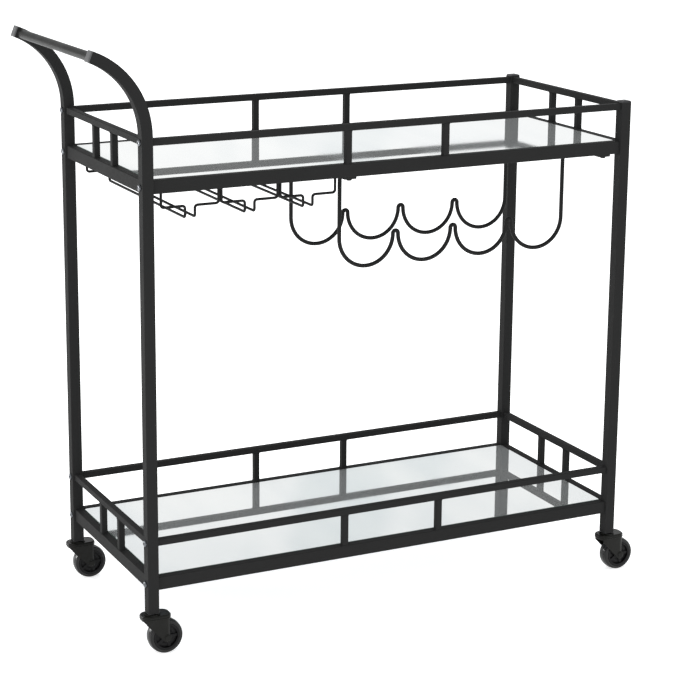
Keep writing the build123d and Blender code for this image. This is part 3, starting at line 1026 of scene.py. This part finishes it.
def nugget(mesh: bmesh.types.BMesh, middle: Vector, radii: Vector) -> None:
    """Add a small rounded weld nugget with an uneven skin.

    Args:
        mesh: The mesh that gets the nugget.
        middle: Its middle.
        radii: Its half sizes along X, Y and Z.
    """
    lump = 0.06
    waves_x, waves_y, waves_z = 7, 5, 3
    made = bmesh.ops.create_icosphere(mesh, subdivisions=3, radius=1.0)
    for vertex in made["verts"]:
        spot = vertex.co.copy()
        swell = math.sin(waves_x * spot.x + waves_z * spot.z) * math.cos(waves_y * spot.y)
        bump = 1.0 + lump * swell
        vertex.co = middle + Vector(spot[i] * radii[i] * bump for i in range(3))


@dataclass
class Caster:
    """One swivel caster: fork with race ring and skirt beads, axle, ringed hub and grooved tyre."""

    bench: Bench
    corner: str
    ring_steps: int = 72
    race_radius: float = 10.9 * MM
    race_bore: float = 8.2 * MM
    race_height: float = 1.2 * MM
    # The rolled lip in section: how far outside the race radius, and the share of its height.
    race_lip: tuple[tuple[float, float], ...] = (
        (0.0, 0.0), (0.35 * MM, 0.25), (0.35 * MM, 0.7),
        (-0.3 * MM, 1.0), (-1.1 * MM, 1.12), (-1.9 * MM, 1.0),
    )
    race_bore_share: float = 0.95
    fork_top: float = 60.0 * MM
    fork_corner: float = 10.0 * MM
    fork_corner_steps: int = 14
    bead_drops: tuple[float, ...] = (3.3 * MM, 5.9 * MM)
    bead_radius: float = 0.8 * MM
    bead_rise: float = 0.6 * MM
    bead_steps: int = 12
    washer_bore: float = 3.05 * MM
    washer_radius: float = 5.6 * MM
    washer_height: float = 0.5 * MM
    washer_edge_share: float = 0.6
    washer_top_share: float = 0.8
    washer_steps: int = 40
    hub_radius: float = 19.0 * MM
    face_ring_radii: tuple[float, ...] = (9.6 * MM, 14.6 * MM)
    face_ring: float = 0.7 * MM
    face_ring_sink: float = 0.1 * MM
    face_ring_steps: int = 10
    web_half: float = 5.5 * MM
    tyre_clearance: float = 0.02 * MM
    # The side wall in section: how far outside the hub, and how far in from the tyre's side.
    wall_foot: tuple[tuple[float, float], ...] = (
        (0.0, 0.5 * MM), (0.7 * MM, 0.05 * MM), (1.5 * MM, 0.05 * MM), (2.0 * MM, 0.5 * MM),
    )
    # The shoulder in section: how far inside the rim, and how far in from the tyre's side.
    wall_shoulder: tuple[tuple[float, float], ...] = (
        (1.9 * MM, 0.55 * MM), (1.2 * MM, 0.65 * MM), (0.5 * MM, 1.0 * MM),
    )
    tread_inset: float = 1.5 * MM
    tread_steps: int = 48
    groove_depth: float = 0.5 * MM
    groove_half: float = 0.5 * MM
    groove_places: tuple[float, ...] = (-0.5, 0.5)
    crown: float = 1.2 * MM
    crown_power: float = 2.4
    tyre_steps: int = 96

    def build(self) -> None:
        """Make the caster's pieces."""
        self.bench.dress(f"caster_fork_{self.corner}", ELECTROCOAT, 0.35)
        self.bench.dress(f"caster_axle_{self.corner}", ELECTROCOAT, 0.2)
        self.bench.dress(f"caster_hub_{self.corner}", MOULDED_NYLON, 0.6)
        self.race_ring()
        self.skirt_beads()
        self.axle_washers()
        self.hub_rings()
        self.tyre()

    def race_ring(self) -> None:
        """Add the rolled ring that closes the ball race on the fork's crown."""
        stem_low, stem_high = box_near("caster_stems", middle_of(f"caster_fork_{self.corner}"))
        middle = (stem_low + stem_high) / 2
        base = Vector((middle.x, middle.y, self.fork_top - self.race_height / 2))
        height = self.race_height
        lip = [(self.race_radius + out, height * share) for out, share in self.race_lip]
        foot = (self.race_bore, 0.0)
        profile = [foot, *lip, (self.race_bore, height * self.race_bore_share), foot]
        mesh = bmesh.new()
        turned(mesh, profile, Matrix.Translation(base), self.ring_steps)
        body = f"caster_{self.corner}"
        self.bench.add(f"caster_race_{self.corner}", mesh, body, [ELECTROCOAT], Slot.CASTER)

    def skirt_beads(self) -> None:
        """Add the two pressed beads that stiffen the skirt under the fork's crown."""
        low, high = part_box(f"caster_fork_{self.corner}")
        width, depth = high.x - low.x, high.y - low.y
        outline = rounded_square(width, depth, self.fork_corner, self.fork_corner_steps)
        middle = (low + high) / 2
        mesh = bmesh.new()
        for drop in self.bead_drops:
            loops = []
            for k in range(self.bead_steps):
                angle = 2 * math.pi * k / self.bead_steps
                out = self.bead_rise * math.cos(angle)
                z = high.z - drop + self.bead_radius * math.sin(angle)
                loops.append(self.grown(outline, out, middle, z))
            bridge_rings(mesh, loops, closed=True)
        body = f"caster_{self.corner}"
        self.bench.add(f"caster_skirt_beads_{self.corner}", mesh, body, [ELECTROCOAT], Slot.CASTER)

    def grown(
        self, outline: Sequence[tuple[float, float]], out: float, middle: Vector, z: float
    ) -> list[Vector]:
        """Return the outline moved outward, at a height.

        Args:
            outline: Points round the skirt, centred on the origin.
            out: How far they move outward.
            middle: The skirt's middle on the floor plan.
            z: The height.

        Returns:
            One point for each point of the outline.
        """
        reach_x = max(x for x, _ in outline)
        reach_y = max(y for _, y in outline)
        grow_x, grow_y = 1 + out / reach_x, 1 + out / reach_y
        return [Vector((middle.x + x * grow_x, middle.y + y * grow_y, z)) for x, y in outline]

    def axle_washers(self) -> None:
        """Add a dished washer under each riveted end of the axle."""
        low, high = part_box(f"caster_fork_{self.corner}")
        axle = middle_of(f"caster_axle_{self.corner}")
        profile = [
            (self.washer_bore, 0.0), (self.washer_radius, 0.0),
            (self.washer_radius, self.washer_height * self.washer_edge_share),
            (self.washer_radius * self.washer_top_share, self.washer_height),
            (self.washer_bore, self.washer_height), (self.washer_bore, 0.0),
        ]
        mesh = bmesh.new()
        for y, way in ((low.y, -1), (high.y, 1)):
            place = axis_frame(Vector((axle.x, y, axle.z)), Vector((0, way, 0)))
            turned(mesh, profile, place, self.washer_steps)
        body = f"caster_{self.corner}"
        self.bench.add(f"caster_washers_{self.corner}", mesh, body, [ELECTROCOAT], Slot.CASTER)

    def hub_rings(self) -> None:
        """Add the moulded rings that stand on both faces of the hub's web."""
        hub = middle_of(f"caster_hub_{self.corner}")
        mesh = bmesh.new()
        steps = self.face_ring_steps
        for way in (-1, 1):
            face = axis_frame(hub + Vector((0, way * self.web_half, 0)), Vector((0, way, 0)))
            for radius in self.face_ring_radii:
                profile = []
                for i in range(steps + 1):
                    angle = math.pi * i / steps
                    profile.append((
                        radius + self.face_ring * math.cos(angle),
                        self.face_ring * math.sin(angle) - self.face_ring_sink,
                    ))
                profile.append(profile[0])
                turned(mesh, profile, face, self.ring_steps)
        body = f"wheel_{self.corner}"
        self.bench.add(f"caster_hub_rings_{self.corner}", mesh, body, [MOULDED_NYLON], Slot.PLASTIC)

    def tyre(self) -> None:
        """Add the tyre: side walls with a raised foot, round shoulders and a grooved tread."""
        low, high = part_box(f"caster_tyre_{self.corner}")
        middle = (low + high) / 2
        half = (high.y - low.y) / 2
        radius = (high.z - low.z) / 2
        inner = self.hub_radius + self.tyre_clearance
        rim = radius - self.crown
        wall = [(inner + out, half - inset) for out, inset in self.wall_foot]
        wall += [(rim - back, half - inset) for back, inset in self.wall_shoulder]
        tread_half = half - self.tread_inset
        tread = []
        for i in range(self.tread_steps + 1):
            y = tread_half * (1 - 2 * i / self.tread_steps)
            rise = self.crown * (1 - (abs(y) / tread_half) ** self.crown_power)
            groove = 0.0
            for share in self.groove_places:
                off = abs(y - share * tread_half) / self.groove_half
                groove = max(groove, self.groove_depth * math.exp(-off * off))
            tread.append((rim + rise - groove, y))
        profile = wall + tread + [(r, -y) for r, y in reversed(wall)]
        profile.append(profile[0])
        mesh = bmesh.new()
        turned(mesh, profile, axis_frame(middle, Vector((0, 1, 0))), self.tyre_steps)
        self.bench.add(
            f"caster_tread_{self.corner}", mesh, f"wheel_{self.corner}", [TREAD], Slot.TYRE,
            [f"caster_tyre_{self.corner}"],
        )


def box_near(node: str, place: Vector) -> tuple[Vector, Vector]:
    """Return the box of the solid of a CAD node that is nearest a place on the floor plan.

    Args:
        node: The CAD node's name.
        place: The place. Its height doesn't count.

    Returns:
        The lowest and highest corner of that solid.
    """
    boxes = solid_boxes(node)
    return min(boxes, key=lambda b: ((b[0] + b[1]) / 2 - place).xy.length)


@dataclass(frozen=True)
class FloorPaint:
    """Matt white studio paint, which glows a little so that the floor stays even."""

    colour: str = "f6f6f6"
    shade: str = "f2f2f2"
    glow_colour: str = "ffffff"
    glow: float = 0.65
    roughness: float = 0.9
    cloud_mm: float = 1000.0 / 3.0

    def build(self) -> bpy.types.Material:
        """Make the node material.

        Returns:
            A matt material with a faint slow change of tint.
        """
        material = bpy.data.materials.new("painted_studio_floor")
        material.use_nodes = True
        tree = material.node_tree
        tree.nodes.clear()
        place = add_node(tree, "ShaderNodeTexCoord").outputs["Object"]
        cloud = add_node(
            tree, "ShaderNodeTexNoise",
            {"Vector": place, "Scale": per_metre(self.cloud_mm), "Detail": 3.0},
        ).outputs["Fac"]
        tint = add_node(
            tree, "ShaderNodeMix",
            {"Factor": cloud,
             MIX_A: linear_colour(self.colour), MIX_B: linear_colour(self.shade)},
            data_type="RGBA",
        ).outputs[MIX_RESULT]
        shader = add_node(
            tree, "ShaderNodeBsdfPrincipled",
            {"Base Color": tint, "Roughness": self.roughness, "Specular IOR Level": 0.0,
             "Emission Color": linear_colour(self.glow_colour), "Emission Strength": self.glow},
        )
        add_node(tree, "ShaderNodeOutputMaterial", {"Surface": shader.outputs["BSDF"]})
        return material


@dataclass
class Studio:
    """Floor, light and camera."""

    floor_size: float = 60.0
    paper: str = "ffffff"
    fold_shade: str = "eef2f3"
    fold_scale: float = 13.0
    fold_low: float = 0.46
    fold_high: float = 0.56
    # Folds start at this height of the view direction, and are full after this span.
    fold_start: float = 0.13
    fold_span: float = 0.06
    aim_at: tuple[float, float, float] = (0.0, 0.0, 0.4)
    lens: float = 108.0
    shift: tuple[float, float] = (0.10, -0.10)
    camera_at: tuple[float, float, float] = (-1.2979, -2.5829, 1.1622)
    camera_yaw: float = 0.4327
    camera_pitch: float = 0.2329

    def build(self) -> None:
        """Set up the whole studio."""
        self.floor()
        self.light()
        self.camera()

    def floor(self) -> None:
        """Add the pale floor."""
        mesh = bmesh.new()
        bmesh.ops.create_grid(mesh, x_segments=4, y_segments=4, size=self.floor_size / 2)
        data = bpy.data.meshes.new("studio_floor")
        mesh.to_mesh(data)
        mesh.free()
        floor = bpy.data.objects.new("studio_floor", data)
        bpy.context.scene.collection.objects.link(floor)
        data.materials.append(FloorPaint().build())

    def light(self) -> None:
        """Add the surround and three soft boxes."""
        self.surround()
        self.soft_box("top_box", place=(0.2, 0.4, 3.6), size=(2.4, 2.4), power=40.0)
        self.soft_box("side_strip", place=(-2.3, -0.75, 0.65), size=(0.45, 1.3), power=4.0)
        self.soft_box("low_strip", place=(-1.9, 1.5, 0.4), size=(0.7, 0.5), power=24.0)
        bpy.context.scene.view_settings.view_transform = "Standard"

    def surround(self) -> None:
        """Add a white surround of hung paper, whose upright folds show softly in the mirrors."""
        world = bpy.data.worlds.new("hung_paper_surround")
        world.use_nodes = True
        tree = world.node_tree
        tree.nodes.clear()
        direction = add_node(tree, "ShaderNodeTexCoord").outputs["Generated"]
        level = add_node(
            tree, "ShaderNodeMapping", {"Vector": direction, "Scale": (1.0, 1.0, 0.0)}
        ).outputs["Vector"]
        folds = add_node(
            tree, "ShaderNodeTexNoise",
            {"Vector": level, "Scale": self.fold_scale, "Detail": 2.0, "Roughness": 0.6},
        ).outputs["Fac"]
        height = add_node(tree, "ShaderNodeSeparateXYZ", {"Vector": direction}).outputs["Z"]
        above = add_node(
            tree, "ShaderNodeMapRange",
            {"Value": height, "From Min": self.fold_start,
             "From Max": self.fold_start + self.fold_span},
        ).outputs["Result"]
        depth = add_node(
            tree, "ShaderNodeMapRange",
            {"Value": folds, "From Min": self.fold_low, "From Max": self.fold_high},
        ).outputs["Result"]
        shade = add_node(
            tree, "ShaderNodeMath", {0: depth, 1: above}, operation="MULTIPLY"
        ).outputs["Value"]
        colour = add_node(
            tree, "ShaderNodeMix",
            {"Factor": shade,
             MIX_A: linear_colour(self.paper), MIX_B: linear_colour(self.fold_shade)},
            data_type="RGBA",
        ).outputs[MIX_RESULT]
        light = add_node(tree, "ShaderNodeBackground", {"Color": colour, "Strength": 1.0})
        add_node(tree, "ShaderNodeOutputWorld", {"Surface": light.outputs["Background"]})
        bpy.context.scene.world = world

    def soft_box(
        self, name: str, place: tuple[float, float, float], size: tuple[float, float], power: float
    ) -> None:
        """Add one soft box aimed at the cart.

        Args:
            name: The light's name.
            place: Where it stands, in metres.
            size: Its width and height, in metres.
            power: Its power, in watts.
        """
        data = bpy.data.lights.new(name, "AREA")
        data.shape = "RECTANGLE"
        data.size, data.size_y = size
        data.energy = power
        box = bpy.data.objects.new(name, data)
        box.location = place
        aim = Vector(self.aim_at) - Vector(place)
        box.rotation_mode = "QUATERNION"
        box.rotation_quaternion = aim.to_track_quat("-Z", "Y")
        bpy.context.scene.collection.objects.link(box)

    def camera(self) -> None:
        """Add the camera."""
        data = bpy.data.cameras.new("camera")
        data.lens = self.lens
        data.sensor_width = SENSOR_WIDTH
        data.shift_x, data.shift_y = self.shift
        camera = bpy.data.objects.new("camera", data)
        camera.location = self.camera_at
        look = Vector((
            math.sin(self.camera_yaw) * math.cos(self.camera_pitch),
            math.cos(self.camera_yaw) * math.cos(self.camera_pitch),
            -math.sin(self.camera_pitch),
        ))
        camera.rotation_mode = "QUATERNION"
        camera.rotation_quaternion = look.to_track_quat("-Z", "Y")
        bpy.context.scene.collection.objects.link(camera)
        bpy.context.scene.camera = camera


def main() -> None:
    """Build the cart's looks and the studio."""
    logging.basicConfig(level=logging.INFO, format="%(name)s: %(message)s")
    bench = Bench(FinishRack())
    TubeFrame(bench).build()
    Fasteners(bench).build()
    for tray in TRAYS:
        MirrorShelf(bench, tray).build()
    WireRacks(bench).build()
    bench.dress("caster_stems", ZINC_PLATE)
    for corner in CORNERS:
        Caster(bench, corner).build()
    Studio().build()


if __name__ == "__main__":
    main()
